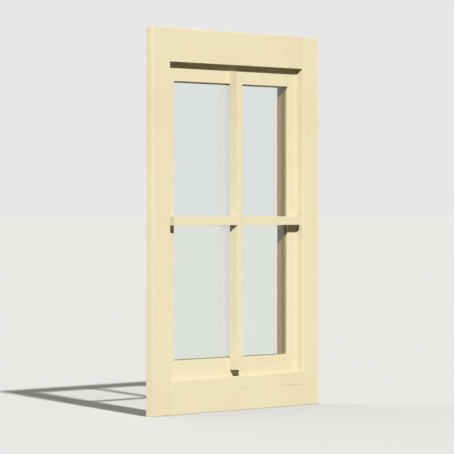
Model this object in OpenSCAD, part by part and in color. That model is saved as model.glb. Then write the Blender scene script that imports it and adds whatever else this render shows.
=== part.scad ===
// A small fixed window for a timber-walled garden building.
// The frame fills the wall, flat casing boards cover the joint on the outside, and a cross of
// glazing bars is laid over one large pane.
// X runs across the window, Y runs from outdoors into the room, Z is up.
// Y = 0 is the outer face of the wall. The origin lies on the back of the bottom casing board,
// in the middle of the strip that bears on the wall.

/* [Casing] */
// Width over the outer casing boards
casing_w = 700; // [520:10:1200]
// Height over the outer casing boards
casing_h = 870; // [560:10:1500]
// Thickness of an outer casing board
casing_t = 16; // [12:1:25]
// Width of each upright casing board
side_board_w = 72; // [60:1:110]
// Width of the casing board over the window
head_board_w = 76; // [60:1:110]
// Width of the casing board under the window
bottom_board_w = 78; // [60:1:110]
// How far every casing board laps over the frame
casing_lap = 15; // [8:1:25]
// Rounding of the casing's outer edges
edge_round = 1; // [0.5:0.5:6]
// Rounding of the casing's edges round the frame
rim_round = 1; // [0.5:0.5:3]
// Width of the relief groove along the back of a casing board
relief_w = 6; // [4:1:12]
// Depth of the relief groove
relief_d = 3; // [2:0.5:6]

/* [Frame] */
// Thickness of the wall, which the frame fills
wall_t = 34; // [28:1:60]
// Width of each upright frame member
stile_w = 54; // [45:1:90]
// Width of each level frame member
rail_w = 58; // [45:1:90]
// Thickness of the lip that the glass bears against
lip_t = 4; // [3:0.5:7]
// Width of the rebate behind the lip
rebate_w = 10; // [8:0.5:15]
// Bevel round the front of the daylight opening
frame_bevel = 1; // [0.5:0.5:2.5]
// Thickness of the tenon in each corner joint
tenon_t = 11; // [8:0.5:13]

/* [Glazing] */
// Thickness of the pane
glass_t = 4; // [3:0.5:4]
// Thickness of the bedding between the lip and the pane
outer_seal_t = 1; // [0.5:0.5:2]
// Thickness of the sealing strip between the pane and the beads
inner_seal_t = 3.5; // [1:0.5:5]
// Room between the edge of the pane and the rebate
glass_gap = 3; // [2:0.5:5]
// Length of a setting block
block_l = 40; // [20:5:80]
// Rounding of a glazing bead's free edge
bead_round = 4; // [1:0.5:6]

/* [Glazing bars] */
// Width of the upright bar, seen from the front
upright_bar_w = 22; // [14:1:35]
// Width of the level bar, seen from the front
level_bar_w = 20; // [14:1:35]
// Thickness of both glazing bars
bar_t = 21; // [17:1:30]
// How far a glazing bar runs past the daylight opening
bar_lap = 28; // [15:1:30]
// Rounding of a glazing bar's front edges
bar_round = 0.5; // [0.5:0.5:3]

/* [Hidden] */
$fn = 48;

// How far a cutter runs past what it cuts
overrun = 1;

// Frame and daylight opening, worked out from the casing inwards
frame_w = casing_w - 2 * side_board_w + 2 * casing_lap;
frame_h = casing_h - head_board_w - bottom_board_w + 2 * casing_lap;
daylight_w = frame_w - 2 * stile_w;
daylight_h = frame_h - 2 * rail_w;

// The part of the bottom board that bears on the wall
bearing_w = bottom_board_w - casing_lap - relief_w;
foot_z = -bearing_w / 2;
casing_middle_z = foot_z + casing_h / 2;
bottom_edge_z = foot_z + bottom_board_w;
head_edge_z = foot_z + casing_h - head_board_w;
daylight_middle_z = (bottom_edge_z + head_edge_z) / 2;
side_edge_x = casing_w / 2 - side_board_w;

// The tenons lie in the middle of the frame's thickness
tenon_y = (wall_t - tenon_t) / 2;

// Layers of the glazing, from the lip towards the room
pane_y = lip_t + outer_seal_t;
inner_seal_y = pane_y + glass_t;
bead_y = inner_seal_y + inner_seal_t;
bead_t = wall_t - bead_y;
pane_w = daylight_w + 2 * (rebate_w - glass_gap);
pane_h = daylight_h + 2 * (rebate_w - glass_gap);

// Setting blocks stand under the pane at this share of its width from the middle
block_place_share = 0.25;

paint = "ivory";
bare_wood = "burlywood";

// What a rounding cutter takes off a square corner at the origin
module round_waste(r) {
    difference() {
        translate([-overrun, -overrun]) square(r + overrun);
        translate([r, r]) circle(r);
    }
}

// Lays a section out along X: its first axis turns up, and its second stays front to back
module lay_along_x(length) {
    rotate([0, -90, 0]) linear_extrude(length, center = true) children();
}

// Cutter for the edge of an opening: an upright and a level section meet in mitred corners
module opening_cutter(height, width) {
    translate([0, 0, daylight_middle_z])
        intersection() {
            linear_extrude(height, center = true) children(0);
            lay_along_x(width) children(1);
        }
}

// One direction of the rounding round the casing's opening
module rim_section(width) {
    translate([0, -casing_t])
        difference() {
            translate([-width / 2 - rim_round, -overrun])
                square([width + 2 * rim_round, rim_round + overrun]);
            for (side = [0, 1])
                mirror([side, 0]) translate([width / 2 + rim_round, rim_round]) circle(rim_round);
        }
}

// A casing board: the rounding round the opening stops at the butt joints
module casing_piece() {
    color(paint)
        difference() {
            children();
            opening_cutter(casing_h, casing_w) {
                rim_section(2 * side_edge_x);
                rim_section(head_edge_z - bottom_edge_z);
            }
        }
}

// Section of a casing board: its edge round the frame at 0, its back on the wall plane
module board_section(width) {
    difference() {
        translate([0, -casing_t]) square([width, casing_t]);
        translate([width, -casing_t]) mirror([1, 0]) round_waste(edge_round);
        translate([casing_lap, -relief_d]) square([relief_w, relief_d + overrun]);
    }
}

// A casing board between two others: its ends are square
module cross_board(length, width) {
    lay_along_x(length) board_section(width);
}

// A casing board that runs the full height: its ends are rounded at the front too
module full_board(length, width) {
    difference() {
        cross_board(length, width);
        for (side = [0, 1])
            mirror([side, 0, 0])
                translate([-length / 2, -casing_t, -overrun])
                    linear_extrude(width + 2 * overrun) round_waste(edge_round);
    }
}

// Places a cross board over or under the opening
module over(z) {
    translate([0, 0, z]) children();
}

module under(z) {
    translate([0, 0, z]) rotate([0, 180, 0]) children();
}

// Places an upright piece right or left of the opening
module right_of(x, middle_z) {
    translate([x, 0, middle_z]) rotate([0, 90, 0]) children();
}

module left_of(x, middle_z) {
    translate([-x, 0, middle_z]) rotate([0, -90, 0]) children();
}

module casing_head() {
    casing_piece() over(head_edge_z) cross_board(2 * side_edge_x, head_board_w);
}

module casing_bottom() {
    casing_piece() under(bottom_edge_z) cross_board(2 * side_edge_x, bottom_board_w);
}

module casing_left() {
    casing_piece() left_of(side_edge_x, casing_middle_z) full_board(casing_h, side_board_w);
}

module casing_right() {
    casing_piece() right_of(side_edge_x, casing_middle_z) full_board(casing_h, side_board_w);
}

// Section of a frame member: its daylight edge at 0, with the rebate behind the lip
module member_section(width) {
    difference() {
        square([width, wall_t]);
        translate([-overrun, lip_t]) square([rebate_w + overrun, wall_t - lip_t + overrun]);
    }
}

// An upright member: an open slot in each end takes a rail's tenon
module stile() {
    slot_l = rail_w - rebate_w;
    difference() {
        lay_along_x(frame_h) member_section(stile_w);
        for (side = [0, 1])
            mirror([side, 0, 0])
                translate([frame_h / 2 - slot_l, tenon_y, -overrun])
                    cube([slot_l + overrun, tenon_t, stile_w + 2 * overrun]);
    }
}

// Takes away a level member's end beyond a shoulder, from front_y to back_y
module shoulder_cut(shoulder_x, front_y, back_y) {
    translate([shoulder_x, front_y, -overrun])
        cube([stile_w + overrun, back_y - front_y, rail_w + 2 * overrun]);
}

// A level member: a tenon runs right through each stile. The lip's shoulder stands at the
// daylight edge, and the longer shoulders behind it fill the stile's rebate.
module rail() {
    lip_shoulder = daylight_w / 2;
    long_shoulder = lip_shoulder + rebate_w;
    difference() {
        lay_along_x(frame_w) member_section(rail_w);
        for (side = [0, 1])
            mirror([side, 0, 0]) {
                shoulder_cut(lip_shoulder, -overrun, lip_t);
                shoulder_cut(long_shoulder, lip_t, tenon_y);
                shoulder_cut(long_shoulder, tenon_y + tenon_t, wall_t + overrun);
            }
    }
}

// One direction of the bevel round the daylight opening
module bevel_section(width) {
    front_half = width / 2 + frame_bevel + overrun;
    back_half = width / 2 - overrun;
    polygon([
        [-front_half, -overrun],
        [front_half, -overrun],
        [back_half, frame_bevel + overrun],
        [-back_half, frame_bevel + overrun],
    ]);
}

// A frame member, with its share of the bevel
module frame_piece() {
    color(paint)
        difference() {
            children();
            opening_cutter(frame_h, frame_w) {
                bevel_section(daylight_w);
                bevel_section(daylight_h);
            }
        }
}

module frame_head() {
    frame_piece() over(daylight_middle_z + daylight_h / 2) rail();
}

module frame_bottom() {
    frame_piece() under(daylight_middle_z - daylight_h / 2) rail();
}

module frame_left() {
    frame_piece() left_of(daylight_w / 2, daylight_middle_z) stile();
}

module frame_right() {
    frame_piece() right_of(daylight_w / 2, daylight_middle_z) stile();
}

// A flat sheet or strip in the plane of the glass, from y towards the room
module layer(y, thickness) {
    translate([0, y + thickness, daylight_middle_z])
        rotate([90, 0, 0]) linear_extrude(thickness) children();
}

module seal(y, thickness) {
    color("dimgray")
        layer(y, thickness)
            difference() {
                square([pane_w, pane_h], center = true);
                square([daylight_w, daylight_h], center = true);
            }
}

module outer_seal() {
    seal(lip_t, outer_seal_t);
}

module inner_seal() {
    seal(inner_seal_y, inner_seal_t);
}

module glass_pane() {
    color("lightblue", 0.35) layer(pane_y, glass_t) square([pane_w, pane_h], center = true);
}

// Carries the pane off the rebate of the bottom rail
module setting_block(side) {
    color("dimgray")
        layer(lip_t, bead_y - lip_t)
            translate([side * block_place_share * pane_w - block_l / 2, -pane_h / 2 - glass_gap])
                square([block_l, glass_gap]);
}

module setting_block_left() {
    setting_block(-1);
}

module setting_block_right() {
    setting_block(1);
}

// Section of a glazing bead, with the corner that shows in the room rounded
module bead_section() {
    difference() {
        square([rebate_w, bead_t]);
        translate([0, bead_t]) mirror([0, 1]) round_waste(bead_round);
    }
}

// A bead with a mitre at each end; length is measured along its daylight edge
module bead(length) {
    long_half = length / 2 + rebate_w;
    intersection() {
        translate([0, bead_y, 0]) lay_along_x(2 * long_half) bead_section();
        translate([0, wall_t, 0])
            rotate([90, 0, 0])
                linear_extrude(bead_t)
                    polygon([
                        [-length / 2, 0],
                        [length / 2, 0],
                        [long_half, rebate_w],
                        [-long_half, rebate_w],
                    ]);
    }
}

module bead_head() {
    color(bare_wood) over(daylight_middle_z + daylight_h / 2) bead(daylight_w);
}

module bead_bottom() {
    color(bare_wood) under(daylight_middle_z - daylight_h / 2) bead(daylight_w);
}

module bead_left() {
    color(bare_wood) left_of(daylight_w / 2, daylight_middle_z) bead(daylight_h);
}

module bead_right() {
    color(bare_wood) right_of(daylight_w / 2, daylight_middle_z) bead(daylight_h);
}

// A glazing bar along X with its back on the frame and all its front edges rounded
module bar(length, width) {
    difference() {
        translate([-length / 2, -bar_t, -width / 2]) cube([length, bar_t, width]);
        for (side = [0, 1]) {
            mirror([0, 0, side])
                translate([0, -bar_t, -width / 2])
                    lay_along_x(length + 2 * overrun) round_waste(bar_round);
            mirror([side, 0, 0])
                translate([-length / 2, -bar_t, -width / 2 - overrun])
                    linear_extrude(width + 2 * overrun) round_waste(bar_round);
        }
    }
}

// Notch for a half-lapped crossing: half the bar's thickness, as wide as the bar that crosses
module lap_notch(width, crossing_w, y) {
    translate([-crossing_w / 2, y, -width / 2 - overrun])
        cube([crossing_w, bar_t / 2 + overrun, width + 2 * overrun]);
}

module glazing_bar_upright() {
    color(paint)
        translate([0, 0, daylight_middle_z])
            rotate([0, 90, 0])
                difference() {
                    bar(daylight_h + 2 * bar_lap, upright_bar_w);
                    lap_notch(upright_bar_w, level_bar_w, -bar_t / 2);
                }
}

module glazing_bar_level() {
    color(paint)
        translate([0, 0, daylight_middle_z])
            difference() {
                bar(daylight_w + 2 * bar_lap, level_bar_w);
                lap_notch(level_bar_w, upright_bar_w, -bar_t - overrun);
            }
}

casing_head();
casing_bottom();
casing_left();
casing_right();
frame_head();
frame_bottom();
frame_left();
frame_right();
outer_seal();
glass_pane();
inner_seal();
setting_block_left();
setting_block_right();
bead_head();
bead_bottom();
bead_left();
bead_right();
glazing_bar_upright();
glazing_bar_level();
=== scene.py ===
# %% [markdown]
# A fixed wooden window
#
# Flat casing boards painted ivory stand round a rebated softwood frame, which holds one pane of
# float glass with a cross of glazing bars laid over it. The window's solids come ready made and to
# scale, and nothing in this notebook moves or resizes them. What is left to do is the finish:
# paint that follows the timber under it, bare wood where no brush has been, clear glass, the strip
# that swells past the beads, and the small pins that hold them. One could start from a blank file
# and model the boards again, but then sizes would drift, so the solids are loaded as a fixed frame.

# %% Load the window
import math
import random
from collections import namedtuple

import bmesh
import bpy
from mathutils import Matrix, Vector


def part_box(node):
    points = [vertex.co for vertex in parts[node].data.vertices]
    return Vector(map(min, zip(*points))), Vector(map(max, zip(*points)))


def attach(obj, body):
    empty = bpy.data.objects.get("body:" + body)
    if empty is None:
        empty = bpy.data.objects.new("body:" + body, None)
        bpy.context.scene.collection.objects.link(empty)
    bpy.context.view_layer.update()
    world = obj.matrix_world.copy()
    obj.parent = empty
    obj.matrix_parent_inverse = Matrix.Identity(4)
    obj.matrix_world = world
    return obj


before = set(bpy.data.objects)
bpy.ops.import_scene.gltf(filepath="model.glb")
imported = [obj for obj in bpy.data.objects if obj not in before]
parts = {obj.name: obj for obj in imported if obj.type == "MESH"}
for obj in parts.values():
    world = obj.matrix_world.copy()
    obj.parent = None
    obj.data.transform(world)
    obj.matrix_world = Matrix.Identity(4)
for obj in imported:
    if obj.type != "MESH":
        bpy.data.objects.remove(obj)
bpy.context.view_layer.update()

# %% [markdown]
# Measure the window
#
# The finish needs to know where the daylight opening, the pane and the floor are. Those places
# could be typed in, but they would be wrong as soon as a board changed its width, so they are read
# off the solids. Blender counts in metres, and MM turns millimetres into them. X runs along the
# window, Y from outdoors to indoors and Z upwards. The beads frame the daylight opening, and their
# front presses on the sealing strip.

# %% Read the places off the solids
MM = 0.001
X, Y, Z = range(3)


def span(piece, axis):
    """Lowest and highest coordinate of a piece along an axis."""
    low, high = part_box(piece)
    return low[axis], high[axis]


foot_z = span("casing_left", Z)[0]
daylight_left = span("bead_left", X)[1]
daylight_right = span("bead_right", X)[0]
daylight_foot = span("bead_bottom", Z)[1]
daylight_head = span("bead_head", Z)[0]
bead_front, bead_back = span("bead_head", Y)
glass_front, glass_back = span("glass_pane", Y)
print(f"daylight opening {(daylight_right - daylight_left) / MM:.0f} x "
      f"{(daylight_head - daylight_foot) / MM:.0f} mm, glass {glass_front / MM:.0f} mm deep")

# %% [markdown]
# Camera
#
# The window is seen from its left, about level with its middle, from far away through a long
# lens. A camera tilted up or down would make its uprights lean. A level one keeps them upright,
# and a small vertical shift brings the horizon to its place, a little above the picture's
# middle. The Standard view transform shows a colour about as it is written.

# %% Set up the camera
SENSOR = 36.0
PICTURE_SIDE = 454
PICTURE_FOCAL = 3830
HORIZON_Y = 210.7
CAMERA_PLACE = Vector((-7.3825, -4.8422, 0.4309))
CAMERA_TURN = math.radians(-56.66)

lens = bpy.data.cameras.new("camera")
lens.lens = PICTURE_FOCAL / PICTURE_SIDE * SENSOR
lens.sensor_width = SENSOR
lens.shift_y = (HORIZON_Y - PICTURE_SIDE / 2) / PICTURE_SIDE
camera = bpy.data.objects.new("camera", lens)
camera.location = CAMERA_PLACE
camera.rotation_euler = (math.pi / 2, 0, CAMERA_TURN)
bpy.context.collection.objects.link(camera)
bpy.context.scene.camera = camera
bpy.context.scene.view_settings.view_transform = "Standard"
print(f"lens {lens.lens:.1f} mm at {CAMERA_PLACE.length:.1f} m")

# %% [markdown]
# Main lamp
#
# The main light comes from the upper left in front and throws the shadows of the head board and
# the bars. An area lamp would have to be huge, or it would light the near side more than the far
# one. A sun lamp lights the whole window evenly wherever it hangs, and its angle of two degrees
# leaves each shadow's edge a little soft.

# %% Hang the lamp
LIGHT_PATH = Vector((0.511, 0.651, -0.5615))
LAMP_STRENGTH = 4.48
LAMP_SOFTNESS = math.radians(2)

lamp = bpy.data.lights.new("main_lamp", "SUN")
lamp.energy = LAMP_STRENGTH
lamp.angle = LAMP_SOFTNESS
lamp_object = bpy.data.objects.new("main_lamp", lamp)
lamp_object.rotation_euler = LIGHT_PATH.to_track_quat("-Z", "Y").to_euler()
bpy.context.collection.objects.link(lamp_object)
steepness = math.degrees(math.asin(-LIGHT_PATH.normalized().z))
print(f"the light falls at {steepness:.0f} degrees")

# %% [markdown]
# Soft studio light
#
# The rest of the light is soft: weak and warm in front, so that the shadows stay deep and brown,
# and full behind the window, so that the edges and inner faces that the lamp doesn't reach can be
# read. More lamps would throw more shadows, so it comes from the world, which glows by direction.
# The camera itself sees a plain pale backdrop, and so does what looks through the glass or into a
# mirror image. The world is a tree of shader nodes, as every finish below is. Wired one by one the
# nodes are hard to read, so four helpers make them: the first hands back the node itself, and
# the others its result.

# %% Helpers: nodes that read like arithmetic


def add_node(tree, kind, inputs=None, **settings):
    """One shader node. inputs maps sockets to plain values or to the outputs that feed them."""
    node = tree.nodes.new(kind)
    for name, value in settings.items():
        setattr(node, name, value)
    for key, value in (inputs or {}).items():
        if isinstance(value, bpy.types.NodeSocket):
            tree.links.new(value, node.inputs[key])
        else:
            node.inputs[key].default_value = value
    return node


def calc(tree, operation, a, b=0.0, c=0.0):
    """The result of a Math node."""
    return add_node(tree, "ShaderNodeMath", {0: a, 1: b, 2: c}, operation=operation).outputs[0]


def ramp(tree, value, start, end, low=0.0, high=1.0):
    """A smooth step: low up to start, high from end on. start may lie above end."""
    inputs = {"Value": value, "From Min": start, "From Max": end, "To Min": low, "To Max": high}
    node = add_node(tree, "ShaderNodeMapRange", inputs, interpolation_type="SMOOTHSTEP")
    return node.outputs["Result"]


def blend_colour(tree, factor, a, b, kind="MIX"):
    """The colour that a Mix node gives between a and b. Its sockets 6 and 7 take colours."""
    inputs = {0: factor, 6: a, 7: b}
    return add_node(tree, "ShaderNodeMix", inputs, data_type="RGBA", blend_type=kind).outputs[2]


print("made add_node, calc, ramp and blend_colour")

# %% Light the studio
FRONT_GLOW = (0.037, 0.031, 0.015, 1)
BEHIND_GLOW = (1, 1, 1, 1)
BEHIND = Vector((-0.1, 1, 0)).normalized()
FULL_GLOW_FACING = 0.8
BACKDROP = (0.80, 0.80, 0.79, 1)

world = bpy.data.worlds.new("soft_studio")
world.use_nodes = True
bpy.context.scene.world = world
sky = world.node_tree
sky.nodes.clear()
direction = add_node(sky, "ShaderNodeTexCoord").outputs["Generated"]
facing = add_node(sky, "ShaderNodeVectorMath", {0: direction, 1: BEHIND},
                  operation="DOT_PRODUCT").outputs["Value"]
glow = blend_colour(sky, ramp(sky, facing, 0.0, FULL_GLOW_FACING), FRONT_GLOW, BEHIND_GLOW)
soft_light = add_node(sky, "ShaderNodeBackground", {"Color": glow, "Strength": 1})
backdrop = add_node(sky, "ShaderNodeBackground", {"Color": BACKDROP, "Strength": 1})
path = add_node(sky, "ShaderNodeLightPath").outputs
seen = calc(sky, "ADD", path["Is Camera Ray"], path["Is Glossy Ray"])
seen = calc(sky, "ADD", seen, path["Is Transmission Ray"])
studio = add_node(sky, "ShaderNodeMixShader",
                  {0: seen, 1: soft_light.outputs[0], 2: backdrop.outputs[0]})
add_node(sky, "ShaderNodeOutputWorld", {"Surface": studio.outputs[0]})
print("soft light", FRONT_GLOW[0], "in front and", BEHIND_GLOW[0], "behind")

# %% [markdown]
# Floor
#
# The floor is a pale sheet that reaches to the horizon, a hair below the casing's lower end, and
# it keeps the window's shadow. A plain pale floor would throw so much light back that the
# shadows under the head board and the bars turn grey. So it shows pale, but gives little light
# back, and that little is warm. The Light Path node makes that difference.

# %% Lay the floor
FLOOR_REACH = 400.0
FLOOR_SIDES = 96
FLOOR_GAP = 0.2 * MM

floor_z = foot_z - FLOOR_GAP
sheet = bmesh.new()
bmesh.ops.create_circle(sheet, cap_ends=True, segments=FLOOR_SIDES, radius=FLOOR_REACH,
                        matrix=Matrix.Translation((0, 0, floor_z)))
floor_mesh = bpy.data.meshes.new("floor")
sheet.to_mesh(floor_mesh)
sheet.free()
floor = bpy.data.objects.new("floor", floor_mesh)
bpy.context.collection.objects.link(floor)
print("floor at", round(floor_z / MM, 1), "mm")

# %% Paint the floor
FLOOR_SEEN = (0.748, 0.748, 0.738, 1)
FLOOR_GIVES = (0.10, 0.085, 0.04, 1)


def new_material(name):
    """A material with an empty tree, and that tree."""
    material = bpy.data.materials.new(name)
    material.use_nodes = True
    material.node_tree.nodes.clear()
    return material, material.node_tree


def finish_surface(tree, shader):
    """Links a shader to the material's output."""
    add_node(tree, "ShaderNodeOutputMaterial", {"Surface": shader.outputs[0]})


floor_paint, tree = new_material("floor_paint")
bounced = add_node(tree, "ShaderNodeLightPath").outputs["Is Diffuse Ray"]
floor_colour = blend_colour(tree, bounced, FLOOR_SEEN, FLOOR_GIVES)
finish_surface(tree, add_node(tree, "ShaderNodeBsdfDiffuse", {"Color": floor_colour}))
floor_mesh.materials.append(floor_paint)
print("the floor shows", FLOOR_SEEN[0], "and gives back", FLOOR_GIVES[0])

# %% [markdown]
# Arrises
#
# An arris is the edge between two faces of a board. On planed timber it is no knife edge:
# sandpaper and two coats of paint leave it rounded by some tenths of a millimetre, and that thin
# round catches a line of light. Where two boards lie flush at a joint their edges stay almost
# sharp, and the joint is a hairline. The solids' meshes are loose triangles that must not be
# changed, but modifiers may finish them: Weld joins the triangles, and Bevel, limited by angle,
# rounds only true edges.

# %% Round the arrises
ARRIS_ROUND = 0.35 * MM
JOINT_ROUND = 0.10 * MM
ROUND_STEPS = 2
WELD_REACH = 0.005 * MM
ARRIS_ANGLE = math.radians(40)
FLUSH = ("casing_", "frame_")
MOULDED = ("bead_", "glazing_")


def round_arrises(piece, width):
    """Welds a piece's triangles and rounds its edges, without touching its mesh."""
    weld = piece.modifiers.new("weld", "WELD")
    weld.merge_threshold = WELD_REACH
    bevel = piece.modifiers.new("arrises", "BEVEL")
    bevel.width = width
    bevel.segments = ROUND_STEPS
    bevel.limit_method = "ANGLE"
    bevel.angle_limit = ARRIS_ANGLE
    bevel.harden_normals = True


timber = [name for name in parts if name.startswith(FLUSH + MOULDED)]
for name in timber:
    round_arrises(parts[name], JOINT_ROUND if name.startswith(FLUSH) else ARRIS_ROUND)
print("rounded", len(timber), "pieces of timber")

# %% [markdown]
# How far to the nearest arris
#
# Paint pulls thin on an arris, and the brush runs a little way round it onto the back, so the
# finish needs to know how far a point is from the board's edges. Pointiness would need a dense
# mesh, and ambient occlusion is slow to bake. A board is a box, so arithmetic is enough: of the
# three distances to the box's faces, one is nought on the surface, and the middle one is the
# distance to the nearest arris. Every piece of timber uses this, so it becomes a node group with
# named sockets.

# %% Helpers: start and end a node group
SOCKETS = {"number": "NodeSocketFloat", "vector": "NodeSocketVector", "colour": "NodeSocketColor"}


def start_group(name, takes, gives):
    """A new shader node group, the sockets that bring its inputs and those for its results."""
    group = bpy.data.node_groups.new(name, "ShaderNodeTree")
    for way, sockets in (("INPUT", takes), ("OUTPUT", gives)):
        for label, kind in sockets.items():
            group.interface.new_socket(label, in_out=way, socket_type=SOCKETS[kind])
    return (group, group.nodes.new("NodeGroupInput").outputs,
            group.nodes.new("NodeGroupOutput").inputs)


def end_group(group, out, results):
    """Links a group's results to its output sockets."""
    for label, value in results.items():
        group.links.new(value, out[label])
    print("group", group.name, "has", len(group.nodes), "nodes")


print("a group's sockets can be of the kinds", ", ".join(SOCKETS))

# %% Group: distance to the arris


def vector_calc(tree, operation, a, b=(0, 0, 0)):
    """The vector that a Vector Math node gives."""
    return add_node(tree, "ShaderNodeVectorMath", {0: a, 1: b}, operation=operation).outputs[0]


def split(tree, vector):
    """The three numbers of a vector."""
    return add_node(tree, "ShaderNodeSeparateXYZ", {0: vector}).outputs


def of_three(tree, operation, numbers):
    """The least, the greatest or the sum of three numbers."""
    return calc(tree, operation, numbers[X], calc(tree, operation, numbers[Y], numbers[Z]))


arris_group, given, out = start_group(
    "Arris distance", {"Point": "vector", "Low corner": "vector", "High corner": "vector"},
    {"Distance": "number"})
from_low = vector_calc(arris_group, "SUBTRACT", given["Point"], given["Low corner"])
from_high = vector_calc(arris_group, "SUBTRACT", given["High corner"], given["Point"])
near = split(arris_group, vector_calc(arris_group, "MINIMUM", from_low, from_high))
ends = calc(arris_group, "ADD", of_three(arris_group, "MINIMUM", near),
            of_three(arris_group, "MAXIMUM", near))
distance = calc(arris_group, "SUBTRACT", of_three(arris_group, "ADD", near), ends)
end_group(arris_group, out, {"Distance": distance})

# %% [markdown]
# Growth rings
#
# A board is cut from a round trunk, so its grain is a slice through nested tubes. A flat texture
# would look right on one face only. Here each point asks how far it is from the trunk's middle,
# the pith, which lies behind the board and often to one side: straight lines come out along the
# edges, long arches on the faces and arcs on the sawn ends, all by themselves. Slow noise lets
# the trunk wander, and fine noise stretched along the grain gives the fibres. Some years are
# richer than others, so a slow sine varies the width of the rings. A season's growth goes from
# pale early wood to a thin dark line of late wood: a power of the ring's fraction makes the line
# thin, and from RING_END on it falls back to pale. The board's own space has X along the grain,
# Y through its thickness and Z across it.

# %% Helpers: noise and swing


def noise(tree, vector, scale, detail=2.0, roughness=0.5):
    """The height of a noise pattern, from 0 to 1. A scale of three numbers stretches it."""
    if isinstance(scale, tuple):
        vector = vector_calc(tree, "MULTIPLY", vector, scale)
        scale = 1.0
    inputs = {"Vector": vector, "Scale": scale, "Detail": detail, "Roughness": roughness}
    return add_node(tree, "ShaderNodeTexNoise", inputs).outputs[0]


def swing(tree, pattern, amount):
    """A pattern from 0 to 1 made to swing about nought, half the amount to either side."""
    return calc(tree, "MULTIPLY", calc(tree, "SUBTRACT", pattern, 0.5), amount)


print("made noise and swing")

# %% Group: growth rings
WANDER_STRETCH = (1.4, 7.0, 7.0)
TONE_STRETCH = (4.2, 21.0, 21.0)
FIBRE_STRETCH = (14.0, 900.0, 900.0)
FIBRE_DETAIL = 3.0
FIBRE_ROUGHNESS = 0.6
RING_CHANGE = 0.6
RING_SHARPNESS = 2.2
RING_END = 0.86

ring_group, given, out = start_group(
    "Growth rings",
    {"Board": "vector", "Pith": "vector", "Ring width": "number", "Wander": "number",
     "Bend": "number"},
    {"Late wood": "number", "Fibre": "number", "Tone": "number"})
offset = split(ring_group, vector_calc(ring_group, "SUBTRACT", given["Board"], given["Pith"]))
reach = calc(ring_group, "MULTIPLY", offset[Z], offset[Z])
reach = calc(ring_group, "SQRT", calc(ring_group, "MULTIPLY_ADD", offset[Y], offset[Y], reach))
wander = swing(ring_group, noise(ring_group, given["Board"], WANDER_STRETCH), given["Wander"])
reach = calc(ring_group, "ADD", calc(ring_group, "ADD", reach, wander), given["Bend"])
count = calc(ring_group, "DIVIDE", reach, given["Ring width"])
uneven = calc(ring_group, "SINE", calc(ring_group, "MULTIPLY", count, RING_CHANGE))
count = calc(ring_group, "MULTIPLY_ADD", uneven, RING_CHANGE, count)
season = calc(ring_group, "FRACT", count)
late = calc(ring_group, "POWER", season, RING_SHARPNESS)
late = calc(ring_group, "MULTIPLY", late, ramp(ring_group, season, 1.0, RING_END))
fibre = noise(ring_group, given["Board"], FIBRE_STRETCH, FIBRE_DETAIL, FIBRE_ROUGHNESS)
tone = noise(ring_group, given["Board"], TONE_STRETCH)
end_group(ring_group, out, {"Late wood": late, "Fibre": fibre, "Tone": tone})

# %% [markdown]
# Knots
#
# A knot is a branch cut through: an oval core of dark hard wood with its own small rings, and
# the trunk's rings flow round it. Drawn as a dark spot alone it would look stuck on. So the
# group gives the core as a mask, and a push that is added to the distance from the pith, which
# makes the growth rings bend aside by themselves. A branch runs right through a board, so the
# depth doesn't count, but a pin knot is a small ball at the surface, so there it does.

# %% Group: knot
KNOT_LENGTHEN = 0.72
KNOT_UNEVEN = 0.3
KNOT_UNEVEN_SCALE = 260.0
KNOT_EDGE = 0.75
KNOT_RINGS = 5.0
KNOT_RING_DEPTH = 0.12
PUSH_REACH = 1.7
PUSH_SHARE = 1.5

knot_group, given, out = start_group(
    "Knot",
    {"Board": "vector", "Centre": "vector", "Radius": "number", "Depth counts": "number"},
    {"Core": "number", "Push": "number"})
away = split(knot_group, vector_calc(knot_group, "SUBTRACT", given["Board"], given["Centre"]))
along = calc(knot_group, "MULTIPLY", away[X], KNOT_LENGTHEN)
depth = calc(knot_group, "MULTIPLY", away[Y], given["Depth counts"])
away = add_node(knot_group, "ShaderNodeCombineXYZ", {0: along, 1: depth, 2: away[Z]}).outputs[0]
far = add_node(knot_group, "ShaderNodeVectorMath", {0: away}, operation="LENGTH").outputs["Value"]
uneven = swing(knot_group, noise(knot_group, given["Board"], KNOT_UNEVEN_SCALE), KNOT_UNEVEN)
share = calc(knot_group, "ADD", calc(knot_group, "DIVIDE", far, given["Radius"]), uneven)
rings = calc(knot_group, "SINE", calc(knot_group, "MULTIPLY", share, KNOT_RINGS * math.tau))
rings = calc(knot_group, "MULTIPLY_ADD", rings, KNOT_RING_DEPTH, 1 - KNOT_RING_DEPTH)
core = calc(knot_group, "MULTIPLY", ramp(knot_group, share, 1.0, KNOT_EDGE), rings)
fall = calc(knot_group, "DIVIDE", share, PUSH_REACH)
fall = calc(knot_group, "MULTIPLY", calc(knot_group, "MULTIPLY", fall, fall), -1.0)
push = calc(knot_group, "MULTIPLY", calc(knot_group, "EXPONENT", fall), given["Radius"])
push = calc(knot_group, "MULTIPLY", push, PUSH_SHARE)
end_group(knot_group, out, {"Core": core, "Push": push})

# %% [markdown]
# Shakes
#
# Where a board has dried too fast it opens in a fine crack along the grain, widest at its start.
# The casing's bottom board has one at its right end and a shorter one in its middle. The head
# board has a closed one that the paint has run into, which shows as a soft grey streak. The grain
# is never quite true to the board's edges, so each crack leans a little and wavers. A crack this
# fine is a dark line some tenths of a millimetre wide, so it is drawn in the paint and sunk by the
# bump, where a real groove would need a new mesh.

# %% Group: shake
SHAKE_LEAN = 0.02
SHAKE_WAVER = 1.6 * MM
SHAKE_WAVER_STRETCH = (22, 0, 0)
SHAKE_WAVER_DETAIL = 3.0
SHAKE_TAPERS_FROM = 0.4
SHAKE_EDGE = 0.6

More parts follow.
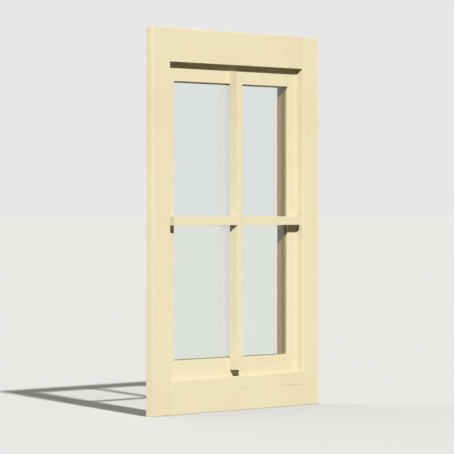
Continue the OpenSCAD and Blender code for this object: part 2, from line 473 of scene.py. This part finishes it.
shake_group, given, out = start_group(
    "Shake", {"Board": "vector", "Start": "vector", "Length": "number", "Half width": "number"},
    {"Line": "number"})
away = split(shake_group, vector_calc(shake_group, "SUBTRACT", given["Board"], given["Start"]))
run = calc(shake_group, "DIVIDE", away[X], given["Length"])
waver = noise(shake_group, given["Board"], SHAKE_WAVER_STRETCH, SHAKE_WAVER_DETAIL)
side = calc(shake_group, "MULTIPLY_ADD", away[X], SHAKE_LEAN, away[Z])
side = calc(shake_group, "ADD", side, swing(shake_group, waver, SHAKE_WAVER))
taper = ramp(shake_group, run, 1.0, SHAKE_TAPERS_FROM)
taper = calc(shake_group, "MULTIPLY", given["Half width"], taper)
line = calc(shake_group, "DIVIDE", calc(shake_group, "ABSOLUTE", side), taper)
line = ramp(shake_group, calc(shake_group, "SUBTRACT", 1.0, line), 0.0, SHAKE_EDGE)
line = calc(shake_group, "MULTIPLY", line, calc(shake_group, "GREATER_THAN", run, 0.0))
line = calc(shake_group, "MULTIPLY", line, calc(shake_group, "LESS_THAN", run, 1.0))
end_group(shake_group, out, {"Line": line})

# %% [markdown]
# Bare softwood
#
# Only the outdoor side is painted. Elsewhere the timber is planed spruce, a warm straw colour with
# darker late wood, brown knots and a silky surface that is rougher between the rings. One brown
# with a noise on it would look like leather, so the group lets each pattern do its own work on
# colour, roughness and height. The height is in millimetres.

# %% Helpers: screen colours and weighed patterns


def srgb(red, green, blue):
    """A colour as picked on screen, from 0 to 255, as the linear colour that shaders use."""
    linear = [((c / 255 + 0.055) / 1.055) ** 2.4 for c in (red, green, blue)]
    return (*linear, 1.0)


def weigh(tree, base, patterns, weights):
    """A base value plus each pattern times its weight."""
    for name, weight in weights.items():
        base = calc(tree, "MULTIPLY_ADD", patterns[name], weight, base)
    return base


print("128 on screen is", round(srgb(128, 128, 128)[0], 3), "in linear light")

# %% Group: bare softwood
EARLY_WOOD = srgb(190, 143, 88)
LATE_WOOD = srgb(150, 98, 52)
KNOT_WOOD = srgb(96, 56, 28)
AGED_WOOD = srgb(164, 117, 66)
NOISE_SPREAD = (0.35, 0.75)
AGED_MOST = 0.55
KNOT_SHOWS = 0.9
STREAK_DARKEST = 0.80
STREAK_RANGE = 0.36
WOOD_ROUGHNESS = 0.66
WOOD_ROUGHNESS_MOVES = {"Late wood": -0.14, "Fibre": 0.12}
WOOD_RELIEF = {"Late wood": 0.05, "Fibre": 0.05, "Knot": 0.05}

wood_group, given, out = start_group(
    "Bare softwood", {"Late wood": "number", "Fibre": "number", "Tone": "number", "Knot": "number"},
    {"Colour": "colour", "Roughness": "number", "Height": "number"})
colour = blend_colour(wood_group, given["Late wood"], EARLY_WOOD, LATE_WOOD)
aged = ramp(wood_group, given["Tone"], *NOISE_SPREAD, 0.0, AGED_MOST)
colour = blend_colour(wood_group, aged, colour, AGED_WOOD)
knotty = calc(wood_group, "MULTIPLY", given["Knot"], KNOT_SHOWS)
colour = blend_colour(wood_group, knotty, colour, KNOT_WOOD)
shade = calc(wood_group, "MULTIPLY_ADD", given["Fibre"], STREAK_RANGE, STREAK_DARKEST)
streaks = add_node(wood_group, "ShaderNodeCombineColor", {0: shade, 1: shade, 2: shade}).outputs[0]
colour = blend_colour(wood_group, 1.0, colour, streaks, "MULTIPLY")
roughness = weigh(wood_group, WOOD_ROUGHNESS, given, WOOD_ROUGHNESS_MOVES)
height = weigh(wood_group, 0.0, given, WOOD_RELIEF)
end_group(wood_group, out, {"Colour": colour, "Roughness": roughness, "Height": height})

# %% [markdown]
# A coat of paint
#
# The outside has two coats of satin ivory, and the beads one of primer. Paint is a skin over the
# wood, so it tells of what is under it: late wood stands proud as faint ridges, the brush leaves
# fine lines along the board, knots bleed through as warm spots, and on the arrises the coat is
# thin enough to let the wood warm it. One flat colour with a glossy shader would look like
# plastic, so colour, roughness and height all move a little, and never much.

# %% Choose the paint
IVORY = srgb(239, 228, 193)
THIN_IVORY = srgb(226, 207, 158)
PRIMER = srgb(126, 113, 64)
THIN_PRIMER = srgb(120, 98, 54)
BLED_IVORY = srgb(222, 198, 140)
CRACK = srgb(112, 92, 58)
CLOUD_SCALE = 6.0
CLOUD_DETAIL = 3.0
CLOUD_SHOWS = 0.24
BRUSH_STRETCH = (6.0, 800.0, 800.0)
PEEL_SCALE = 650.0
PEEL_DETAIL = 1.0
GRAIN_SHOWS = 0.13
WORN_REACH = (1.4 * MM, 0.1 * MM)
WORN_SPREAD = (0.25, 0.7)
WORN_MOST = 0.35
PAINT_ROUGHNESS = 0.38
PAINT_ROUGHNESS_MOVES = {"Cloud": 0.10, "Brush": 0.08}
PAINT_RELIEF = {"Late wood": 0.034, "Fibre": 0.014, "Brush": 0.030, "Peel": 0.016, "Stain": 0.04,
                "Shake": -0.30}
print("thin paint shows by up to", CLOUD_SHOWS, "in clouds and", WORN_MOST, "on an arris")

# %% Group: coat of paint
paint_group, given, out = start_group(
    "Coat of paint",
    {"Board": "vector", "Coat": "colour", "Thin coat": "colour", "Late wood": "number",
     "Fibre": "number", "Stain": "number", "Arris": "number", "Shake": "number"},
    {"Colour": "colour", "Roughness": "number", "Height": "number"})
cloud = noise(paint_group, given["Board"], CLOUD_SCALE, CLOUD_DETAIL)
brush = noise(paint_group, given["Board"], BRUSH_STRETCH)
peel = noise(paint_group, given["Board"], PEEL_SCALE, PEEL_DETAIL)
patterns = dict(given.items(), Cloud=cloud, Brush=brush, Peel=peel)
clouded = ramp(paint_group, cloud, *NOISE_SPREAD, 0.0, CLOUD_SHOWS)
colour = blend_colour(paint_group, clouded, given["Coat"], given["Thin coat"])
grained = calc(paint_group, "MULTIPLY", given["Late wood"], GRAIN_SHOWS)
colour = blend_colour(paint_group, grained, colour, given["Thin coat"])
worn = calc(paint_group, "MULTIPLY", ramp(paint_group, given["Arris"], *WORN_REACH),
            ramp(paint_group, brush, *WORN_SPREAD, 0.0, WORN_MOST))
colour = blend_colour(paint_group, worn, colour, given["Thin coat"])
colour = blend_colour(paint_group, given["Stain"], colour, BLED_IVORY)
colour = blend_colour(paint_group, given["Shake"], colour, CRACK)
roughness = weigh(paint_group, PAINT_ROUGHNESS, patterns, PAINT_ROUGHNESS_MOVES)
height = weigh(paint_group, 0.0, patterns, PAINT_RELIEF)
end_group(paint_group, out, {"Colour": colour, "Roughness": roughness, "Height": height})

# %% [markdown]
# Knots and shakes on a board
#
# Each board has knots of its own, and two of them have shakes. A list of them is easier to read
# and to change than nodes placed by hand, so a board's marks are written as short records, in
# millimetres from the board's middle, and two helpers place a group for each of them. A knot
# without a depth runs right through. Its bleed says how much it shows through paint.

# %% Place a board's marks
Knot = namedtuple("Knot", "along across radius depth bleed", defaults=(None, 0.0))
Shake = namedtuple("Shake", "along across length half_width darkness")


def place_group(tree, group, inputs):
    """Puts a node group in a material and returns its outputs."""
    return add_node(tree, "ShaderNodeGroup", inputs, node_tree=group).outputs


def place_knots(tree, board, knots):
    """The mask of a board's knots, of their stain in the paint, and their push on the rings."""
    core, stain, push = 0.0, 0.0, 0.0
    for knot in knots:
        centre = Vector((knot.along, knot.depth or 0, knot.across)) * MM
        found = place_group(tree, knot_group,
                            {"Board": board, "Centre": centre, "Radius": knot.radius * MM,
                             "Depth counts": 0 if knot.depth is None else 1})
        core = calc(tree, "MAXIMUM", core, found["Core"])
        stain = calc(tree, "MAXIMUM", stain, calc(tree, "MULTIPLY", found["Core"], knot.bleed))
        push = calc(tree, "ADD", push, found["Push"])
    return core, stain, push


def place_shakes(tree, board, shakes):
    """The mask of a board's shakes, each as dark as it is open."""
    line = 0.0
    for shake in shakes:
        start = Vector((shake.along, 0, shake.across)) * MM
        found = place_group(tree, shake_group,
                            {"Board": board, "Start": start, "Length": shake.length * MM,
                             "Half width": shake.half_width * MM})
        line = calc(tree, "MAXIMUM", line, calc(tree, "MULTIPLY", found["Line"], shake.darkness))
    return line


print("a knot has", ", ".join(Knot._fields))

# %% [markdown]
# A material for one piece of timber
#
# Each board has its own grain, knots and cracks, so each gets its own material, made by one
# function. A Mapping node of the texture kind brings a point into the board's own space: its
# middle becomes the origin, and on an upright its length is turned onto X. The pith's place is
# drawn at random from a fixed seed, so the boards differ but every run gives the same window.
# Where paint covers the wood is a mask that the caller makes, because it follows how the piece
# was painted. A sunlit recess of pale paint throws light on itself and would burn out in its
# corners, which a camera's film softens and the plain view here doesn't, so to bounced rays the
# boards are less than half as bright as to the camera.

# %% Helpers: blend numbers and dress a piece


def blend_value(tree, factor, a, b):
    """The number that a Mix node gives between a and b. Its sockets 2 and 3 take numbers."""
    return add_node(tree, "ShaderNodeMix", {0: factor, 2: a, 3: b}, data_type="FLOAT").outputs[0]


def dress(piece, material):
    """Gives a loaded piece its material."""
    parts[piece].data.materials.clear()
    parts[piece].data.materials.append(material)


print("made blend_value and dress")

# %% Build the timber material
RING_WIDTH = 2.6 * MM
PITH_BEHIND = (18 * MM, 60 * MM)
PITH_ASIDE = 30 * MM
TRUNK_WANDER = 14 * MM
LENGTH_UPRIGHT = (0, -math.pi / 2, 0)
LENGTH_LEVEL = (0, 0, 0)
SATIN = 0.3
HELD_BACK = 0.58
BLACK = (0, 0, 0, 1)
SEED = 7
draw = random.Random(SEED)


def timber_material(piece, turn, cover, knots=(), shakes=(), coat=(IVORY, THIN_IVORY)):
    """Paint and bare wood for one piece. turn says how its length runs. cover makes the mask of
    where paint is, or is None for paint all over."""
    material, tree = new_material(piece)
    low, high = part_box(piece)
    place = add_node(tree, "ShaderNodeTexCoord").outputs
    board = add_node(tree, "ShaderNodeMapping",
                     {"Vector": place["Object"], "Location": (low + high) / 2, "Rotation": turn},
                     vector_type="TEXTURE").outputs[0]
    pith = (0, draw.uniform(*PITH_BEHIND), draw.uniform(-PITH_ASIDE, PITH_ASIDE))
    knot, stain, push = place_knots(tree, board, knots)
    grain = place_group(tree, ring_group, {"Board": board, "Pith": pith, "Bend": push,
                                           "Ring width": RING_WIDTH, "Wander": TRUNK_WANDER})
    arris = place_group(tree, arris_group, {"Point": place["Object"], "Low corner": low,
                                            "High corner": high})["Distance"]
    paint = place_group(tree, paint_group,
                        {"Board": board, "Coat": coat[0], "Thin coat": coat[1],
                         "Late wood": grain["Late wood"], "Fibre": grain["Fibre"], "Stain": stain,
                         "Arris": arris, "Shake": place_shakes(tree, board, shakes)})
    colour, roughness, height = paint["Colour"], paint["Roughness"], paint["Height"]
    if cover is not None:
        bare = place_group(tree, wood_group, {"Late wood": grain["Late wood"], "Knot": knot,
                                              "Fibre": grain["Fibre"], "Tone": grain["Tone"]})
        covered = cover(tree, place, board, arris)
        colour = blend_colour(tree, covered, bare["Colour"], colour)
        roughness = blend_value(tree, covered, bare["Roughness"], roughness)
        height = blend_value(tree, covered, bare["Height"], height)
    bounced = add_node(tree, "ShaderNodeLightPath").outputs["Is Diffuse Ray"]
    colour = blend_colour(tree, calc(tree, "MULTIPLY", bounced, HELD_BACK), colour, BLACK)
    bump = add_node(tree, "ShaderNodeBump", {"Height": height, "Distance": MM})
    finish_surface(tree, add_node(tree, "ShaderNodeBsdfPrincipled",
                                  {"Base Color": colour, "Roughness": roughness,
                                   "Specular IOR Level": SATIN, "Normal": bump.outputs[0]}))
    dress(piece, material)


print("timber rings are about", RING_WIDTH / MM, "mm wide")

# %% [markdown]
# Casing boards
#
# The casing was painted before it was put up: every face but the back, with a ragged margin where
# the brush ran over the back's edges. A mask by depth alone would paint that margin with a ruled
# line, so it asks for two things at once: a normal that points to the back, and some distance to
# the nearest arris, which noise makes uneven.

# %% Mask the casing's back
RAGGED_MARGIN = 9 * MM
MARGIN_SCALE = 45.0
MARGIN_DETAIL = 3.0
MARGIN_FADE = 0.6 * MM
BACK_NORMAL = 0.5


def casing_cover(tree, place, board, arris):
    """Paint on all faces but the back, with a ragged margin round it."""
    back = calc(tree, "GREATER_THAN", split(tree, place["Normal"])[Y], BACK_NORMAL)
    ragged = calc(tree, "MULTIPLY", noise(tree, board, MARGIN_SCALE, MARGIN_DETAIL), RAGGED_MARGIN)
    inside = ramp(tree, calc(tree, "SUBTRACT", arris, ragged), 0.0, MARGIN_FADE)
    return calc(tree, "SUBTRACT", 1.0, calc(tree, "MULTIPLY", back, inside))


print("the brush runs up to", round(RAGGED_MARGIN / MM), "mm onto the back")

# %% Paint the casing
# Where the bottom board's end and a board's face lie, in millimetres from the board's middle
board_end = span("casing_bottom", X)[1] / MM
casing_front = (span("casing_right", Y)[0] - span("casing_right", Y)[1]) / 2 / MM
timber_material("casing_head", LENGTH_LEVEL, casing_cover,
                knots=[Knot(along=-125, across=-12, radius=8)],
                shakes=[Shake(along=201, across=7, length=57, half_width=1.7, darkness=0.14)])
timber_material("casing_bottom", LENGTH_LEVEL, casing_cover,
                knots=[Knot(along=-190, across=10, radius=9)],
                shakes=[Shake(along=board_end, across=9.7, length=-140, half_width=0.24,
                              darkness=0.85),
                        Shake(along=46, across=9, length=-60, half_width=0.12, darkness=0.7)])
timber_material("casing_left", LENGTH_UPRIGHT, casing_cover,
                knots=[Knot(along=-238, across=6, radius=8),
                       Knot(along=290, across=-10, radius=10)])
timber_material("casing_right", LENGTH_UPRIGHT, casing_cover,
                knots=[Knot(along=301, across=-11, radius=3, depth=casing_front, bleed=0.35),
                       Knot(along=206, across=7, radius=3, depth=casing_front, bleed=0.5),
                       Knot(along=-267, across=36, radius=2.2, depth=-4, bleed=0.9),
                       Knot(along=-308, across=36, radius=2.2, depth=-1, bleed=0.9),
                       Knot(along=-60, across=-12, radius=9)])
print("painted 4 casing boards, each", round(-2 * casing_front, 1), "mm thick")

# %% [markdown]
# Frame
#
# The frame was painted once it had been built in, so only its outdoor face and the small reveal in
# front of the glass have paint, with a few millimetres run into the joints. Behind that it is
# bare, and at its outer sides the through tenons show their end grain in the slots of the
# uprights. The mask here is the depth behind the outdoor face, compared with a ragged line. The
# beads further on need the same mask with other depths, so a function makes it.

# %% Paint the front of the frame
PAINT_RUN = (5.0 * MM, 9.0 * MM)
PAINT_FADE = 0.4 * MM
RAGGED_SPREAD = (0.3, 0.7)


def ragged_cover(depths, fade):
    """A cover that ends at a ragged line between two depths."""
    def cover(tree, place, board, arris):
        ragged = noise(tree, place["Object"], MARGIN_SCALE, MARGIN_DETAIL)
        ragged = ramp(tree, ragged, *RAGGED_SPREAD, *depths)
        depth = split(tree, place["Object"])[Y]
        return ramp(tree, calc(tree, "SUBTRACT", depth, ragged), fade, -fade)
    return cover


frame_cover = ragged_cover(PAINT_RUN, PAINT_FADE)
timber_material("frame_head", LENGTH_LEVEL, frame_cover, [Knot(along=130, across=4, radius=8)])
timber_material("frame_bottom", LENGTH_LEVEL, frame_cover, [Knot(along=-175, across=2, radius=7)])
timber_material("frame_left", LENGTH_UPRIGHT, frame_cover, [Knot(along=120, across=6, radius=9)])
timber_material("frame_right", LENGTH_UPRIGHT, frame_cover,
                [Knot(along=-190, across=-4, radius=8), Knot(along=235, across=4, radius=6)])
print("painted 4 frame members,", PAINT_RUN[0] / MM, "to", PAINT_RUN[1] / MM, "mm deep")

# %% [markdown]
# Glazing bars
#
# The two bars are painted all round before they are laid over the pane, because their backs show
# through the glass. So they need no mask. They are small planed strips, and their knots are pin
# knots, most of them on an arris.

# %% Paint the bars
timber_material("glazing_bar_upright", LENGTH_UPRIGHT, None,
                knots=[Knot(along=-242, across=11, radius=1.8, depth=-7, bleed=0.8),
                       Knot(along=-122, across=11, radius=1.6, depth=-5, bleed=0.6),
                       Knot(along=239, across=11, radius=1.6, depth=-2, bleed=0.6)])
timber_material("glazing_bar_level", LENGTH_LEVEL, None,
                knots=[Knot(along=150, across=2, radius=1.6, bleed=0.1)])
print("painted 2 glazing bars")

# %% [markdown]
# Beads
#
# Beads are the mitred strips that hold the pane in the frame from indoors, and towards that side
# they are bare softwood. Their front halves were given one coat of olive primer before they went
# in, so that no bare edge would show through the glass. Beads are cut from clear wood, so one
# small knot in each is enough, and its place is drawn at random.

# %% Finish the beads
PRIMER_DEPTH = (20.0 * MM, 22.5 * MM)
PRIMER_FADE = 0.5 * MM
BEAD_KNOT_REACH = 200

bead_cover = ragged_cover(PRIMER_DEPTH, PRIMER_FADE)
for piece, turn in (("bead_head", LENGTH_LEVEL), ("bead_bottom", LENGTH_LEVEL),
                    ("bead_left", LENGTH_UPRIGHT), ("bead_right", LENGTH_UPRIGHT)):
    knot = Knot(along=draw.uniform(-BEAD_KNOT_REACH, BEAD_KNOT_REACH), across=0, radius=2,
                bleed=0.3)
    timber_material(piece, turn, bead_cover, [knot], coat=(PRIMER, THIN_PRIMER))
    print(piece, "has its knot at", round(knot.along), "mm")

# %% [markdown]
# Glass
#
# Float glass 4 mm thick is nearly clear, a little green, and mirrors a few hundredths of what
# stands before it, so the reveal and the upright bar repeat faintly in it. The Principled shader
# with full transmission does this in a closed slab. Lamp light would need thousands of samples to
# find its way through a refracting slab, so for shadow rays and bounced ones the pane is tinted
# and transparent. Such a ray meets the tint at both faces, so each face gives its square root.
# Glass is never quite clean, so a slow noise dulls it a trace here and there.

# %% Make the glass
GLASS_TINT = (0.88, 0.925, 0.90, 1)
ONE_FACE_TINT = tuple(math.sqrt(channel) for channel in GLASS_TINT)
GLASS_IOR = 1.5
FILM_SCALE = 5.0
FILM_DETAIL = 4.0
FILM_SPREAD = (0.45, 0.8)
FILM_ROUGHNESS = 0.03

glass, tree = new_material("clear_glass")
point = add_node(tree, "ShaderNodeTexCoord").outputs["Object"]
film = ramp(tree, noise(tree, point, FILM_SCALE, FILM_DETAIL), *FILM_SPREAD, 0.0, FILM_ROUGHNESS)
clear = add_node(tree, "ShaderNodeBsdfPrincipled",
                 {"Base Color": GLASS_TINT, "Roughness": film, "IOR": GLASS_IOR,
                  "Transmission Weight": 1.0})
passing = add_node(tree, "ShaderNodeBsdfTransparent", {"Color": ONE_FACE_TINT})
ray = add_node(tree, "ShaderNodeLightPath").outputs
unseen = calc(tree, "MAXIMUM", ray["Is Shadow Ray"], ray["Is Diffuse Ray"])
finish_surface(tree, add_node(tree, "ShaderNodeMixShader",
                              {0: unseen, 1: clear.outputs[0], 2: passing.outputs[0]}))
dress("glass_pane", glass)
print("glass", round((glass_back - glass_front) / MM, 1), "mm thick")

# %% [markdown]
# Sealing strips and setting blocks
#
# The pane is bedded on a thin bead of putty, which the painter ran over, and pressed onto it by a
# strip of soft foam: matt, slightly mottled, with fine pores. The blocks that carry the pane off
# the rail are hard dark rubber, smoother than the foam. All of them are two close colours and
# pores of some size, so one function makes them, and only its numbers differ.

# %% Helper: a mottled material
PORES_A_PATCH = 8
PATCH_DETAIL = 3.0
PORE_ROUGHNESS = 0.2


def mottled_material(name, first, second, roughness, pore_scale, pore_depth):
    """A matt material of two close colours with fine pores."""
    material, tree = new_material(name)
    point = add_node(tree, "ShaderNodeTexCoord").outputs["Object"]
    patches = noise(tree, point, pore_scale / PORES_A_PATCH, PATCH_DETAIL)
    pores = noise(tree, point, pore_scale)
    bump = add_node(tree, "ShaderNodeBump", {"Height": pores, "Distance": pore_depth})
    rough = calc(tree, "MULTIPLY_ADD", pores, PORE_ROUGHNESS, roughness)
    finish_surface(tree, add_node(tree, "ShaderNodeBsdfPrincipled",
                                  {"Base Color": blend_colour(tree, patches, first, second),
                                   "Roughness": rough, "Normal": bump.outputs[0]}))
    return material


print("a patch of colour spans about", PORES_A_PATCH, "pores")

# %% Make the strips and blocks
PUTTY = srgb(236, 223, 182)
PUTTY_DARK = srgb(226, 212, 168)
FOAM = srgb(198, 186, 148)
FOAM_DARK = srgb(180, 168, 130)
BLOCK_DARK = srgb(44, 45, 46)
BLOCK_PALE = srgb(60, 61, 62)
FOAM_FEEL = {"roughness": 0.65, "pore_scale": 1800.0, "pore_depth": 0.15 * MM}

painted_putty = mottled_material("painted_putty", PUTTY, PUTTY_DARK, roughness=0.45,
                                 pore_scale=900.0, pore_depth=0.05 * MM)
strip_foam = mottled_material("strip_foam", FOAM, FOAM_DARK, **FOAM_FEEL)
block_rubber = mottled_material("block_rubber", BLOCK_DARK, BLOCK_PALE, roughness=0.35,
                                pore_scale=900.0, pore_depth=0.03 * MM)
dress("outer_seal", painted_putty)
dress("inner_seal", strip_foam)
dress("setting_block_left", block_rubber)
dress("setting_block_right", block_rubber)
print("putty, strip and blocks finished")

# %% [markdown]
# The strip's bulge
#
# The beads press the foam strip against the pane, and it swells past their edges as a soft olive
# line round the daylight opening. The line is one ring. It starts as a flat sheet over the
# opening, an inset and a deleted middle leave its outline with mitred corners, Solidify gives it
# the strip's thickness, and a bevel of a little less than half that thickness rounds its free
# edge. A curve with a round section would do as well, but its corners would come out narrow.

# %% Helper: put a new piece on the window


def new_piece(name, mesh, material):
    """Turns a bmesh into an object that rides on the window's one body."""
    data = bpy.data.meshes.new(name)
    mesh.to_mesh(data)
    mesh.free()
    data.materials.append(material)
    piece = bpy.data.objects.new(name, data)
    bpy.context.collection.objects.link(piece)
    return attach(piece, "root")


print("new pieces ride on the body called root")

# %% Model a ring with a rounded edge
BULGE_ROUND = 0.42
BULGE_STEPS = 4


def strip_ring(low, high, front, back, width):
    """A ring with a rounded inner edge, between two corners in X and Z and two depths in Y."""
    size_x, size_z = high[0] - low[0], high[1] - low[1]
    middle = Vector(((low[0] + high[0]) / 2, front, (low[1] + high[1]) / 2))
    standing = Matrix.Translation(middle) @ Matrix.Rotation(math.pi / 2, 4, "X")
    ring = bmesh.new()
    bmesh.ops.create_grid(ring, x_segments=1, y_segments=1, size=0.5,
                          matrix=standing @ Matrix.Diagonal((size_x, size_z, 1, 1)))
    opening = list(ring.faces)
    bmesh.ops.inset_region(ring, faces=opening, thickness=width, use_boundary=True,
                           use_even_offset=True)
    bmesh.ops.delete(ring, geom=opening, context="FACES")
    outline = list(ring.faces)
    bmesh.ops.solidify(ring, geom=outline, thickness=back - front)
    foremost = min(vertex.co.y for vertex in ring.verts)
    bmesh.ops.translate(ring, verts=list(ring.verts), vec=(0, front - foremost, 0))
    inner = {vertex for vertex in ring.verts
             if abs(vertex.co.x - middle.x) < (size_x - width) / 2
             and abs(vertex.co.z - middle.z) < (size_z - width) / 2}
    free = [edge for edge in ring.edges if inner.issuperset(edge.verts)
            and abs(edge.verts[0].co.y - edge.verts[1].co.y) < WELD_REACH]
    bmesh.ops.bevel(ring, geom=free, offset=(back - front) * BULGE_ROUND, segments=BULGE_STEPS,
                    affect="EDGES", profile=0.5, material=-1)
    bmesh.ops.recalc_face_normals(ring, faces=list(ring.faces))
    return ring


print("both edges of the ring's rim are rounded in", BULGE_STEPS, "steps")

# %% Fit the bulge
BULGE = 2.6 * MM
BULGE_TUCK = 0.3 * MM
GLASS_CLEAR = 0.05 * MM
BULGE_OLIVE = srgb(155, 140, 102)
BULGE_DARK = srgb(138, 124, 88)

strip_edge = mottled_material("strip_edge", BULGE_OLIVE, BULGE_DARK, **FOAM_FEEL)
ring = strip_ring((daylight_left - BULGE_TUCK, daylight_foot - BULGE_TUCK),
                  (daylight_right + BULGE_TUCK, daylight_head + BULGE_TUCK),
                  glass_back + GLASS_CLEAR, bead_front, BULGE + BULGE_TUCK)
strip_bulge = new_piece("strip_bulge", ring, strip_edge)
print("the strip stands", round(BULGE / MM, 1), "mm past the beads,",
      len(strip_bulge.data.polygons), "faces")

# %% [markdown]
# Bead pins
#
# Each bead is held by a row of thin pins, driven at a slant through its rounded edge into the
# frame. Only their small heads show. A head is a disc with a soft rim, and one function adds it
# to a single mesh at every place, because fourteen separate objects would only clutter the file.
# It lies across the bead's rounding, at its middle, tilted by 45 degrees.

# %% Model a pin head
PIN_HEAD = 0.9 * MM
PIN_SIDES = 16
PIN_PROUD = 0.12 * MM
PIN_SUNK = 0.5 * MM
PIN_RIM = 0.8 * PIN_PROUD
PIN_RIM_STEPS = 2


def pin_head(mesh, place):
    """Adds one pin head, its axis along Z before place turns and moves it."""
    made = bmesh.ops.create_cone(mesh, cap_ends=True, segments=PIN_SIDES, radius1=PIN_HEAD,
                                 radius2=PIN_HEAD, depth=PIN_SUNK + PIN_PROUD,
                                 matrix=Matrix.Translation((0, 0, (PIN_PROUD - PIN_SUNK) / 2)))
    top = {vertex for vertex in made["verts"] if vertex.co.z > 0}
    rim = [edge for edge in mesh.edges if top.issuperset(edge.verts)]
    rounded = bmesh.ops.bevel(mesh, geom=rim, offset=PIN_RIM, segments=PIN_RIM_STEPS,
                              affect="EDGES", profile=0.5, material=-1)
    head = {vertex for vertex in made["verts"] if vertex.is_valid} | set(rounded["verts"])
    bmesh.ops.transform(mesh, matrix=place, verts=list(head))


print("a pin head is", 2 * PIN_HEAD / MM, "mm across")

# %% Find the pins' places
BEAD_ROUND = 4.0 * MM
ROUND_MIDDLE = BEAD_ROUND * (1 - math.sqrt(0.5))
PINS_LEVEL = 3
PINS_UPRIGHT = 4
PIN_FROM_CORNER = 45 * MM


def pin_row(start, end, count):
    """Evenly spaced places along a bead, the outer ones a set way from its corners."""
    first, last = start + PIN_FROM_CORNER, end - PIN_FROM_CORNER
    return [first + (last - first) * step / (count - 1) for step in range(count)]


def pin_place(x, z, inward):
    """The matrix of a pin at x, z. Its head faces indoors and towards the opening."""
    turn = Vector((inward[0], 1, inward[1])).to_track_quat("Z", "Y").to_matrix().to_4x4()
    return Matrix.Translation((x, bead_back - ROUND_MIDDLE, z)) @ turn


places = []
for side, way in ((daylight_foot, 1), (daylight_head, -1)):
    for along in pin_row(daylight_left, daylight_right, PINS_LEVEL):
        places.append(pin_place(along, side - way * ROUND_MIDDLE, (0, way)))
for side, way in ((daylight_left, 1), (daylight_right, -1)):
    for along in pin_row(daylight_foot, daylight_head, PINS_UPRIGHT):
        places.append(pin_place(side - way * ROUND_MIDDLE, along, (way, 0)))
print("the beads have", len(places), "pins")

# %% Drive the bead pins
STEEL_BRIGHT = srgb(176, 172, 164)
STEEL_DULL = srgb(128, 122, 112)
STEEL_ROUGHNESS = 0.3
TARNISH_SCALE = 1500.0
TARNISH_DETAIL = 3.0
TARNISH_ROUGHNESS = 0.3

pin_steel, tree = new_material("pin_steel")
point = add_node(tree, "ShaderNodeTexCoord").outputs["Object"]
tarnish = noise(tree, point, TARNISH_SCALE, TARNISH_DETAIL)
rough = calc(tree, "MULTIPLY_ADD", tarnish, TARNISH_ROUGHNESS, STEEL_ROUGHNESS)
finish_surface(tree, add_node(tree, "ShaderNodeBsdfPrincipled",
                              {"Base Color": blend_colour(tree, tarnish, STEEL_BRIGHT, STEEL_DULL),
                               "Metallic": 1.0, "Roughness": rough}))
pins = bmesh.new()
for place in places:
    pin_head(pins, place)
bead_pins = new_piece("bead_pins", pins, pin_steel)
print("the pins' mesh has", len(bead_pins.data.polygons), "faces")
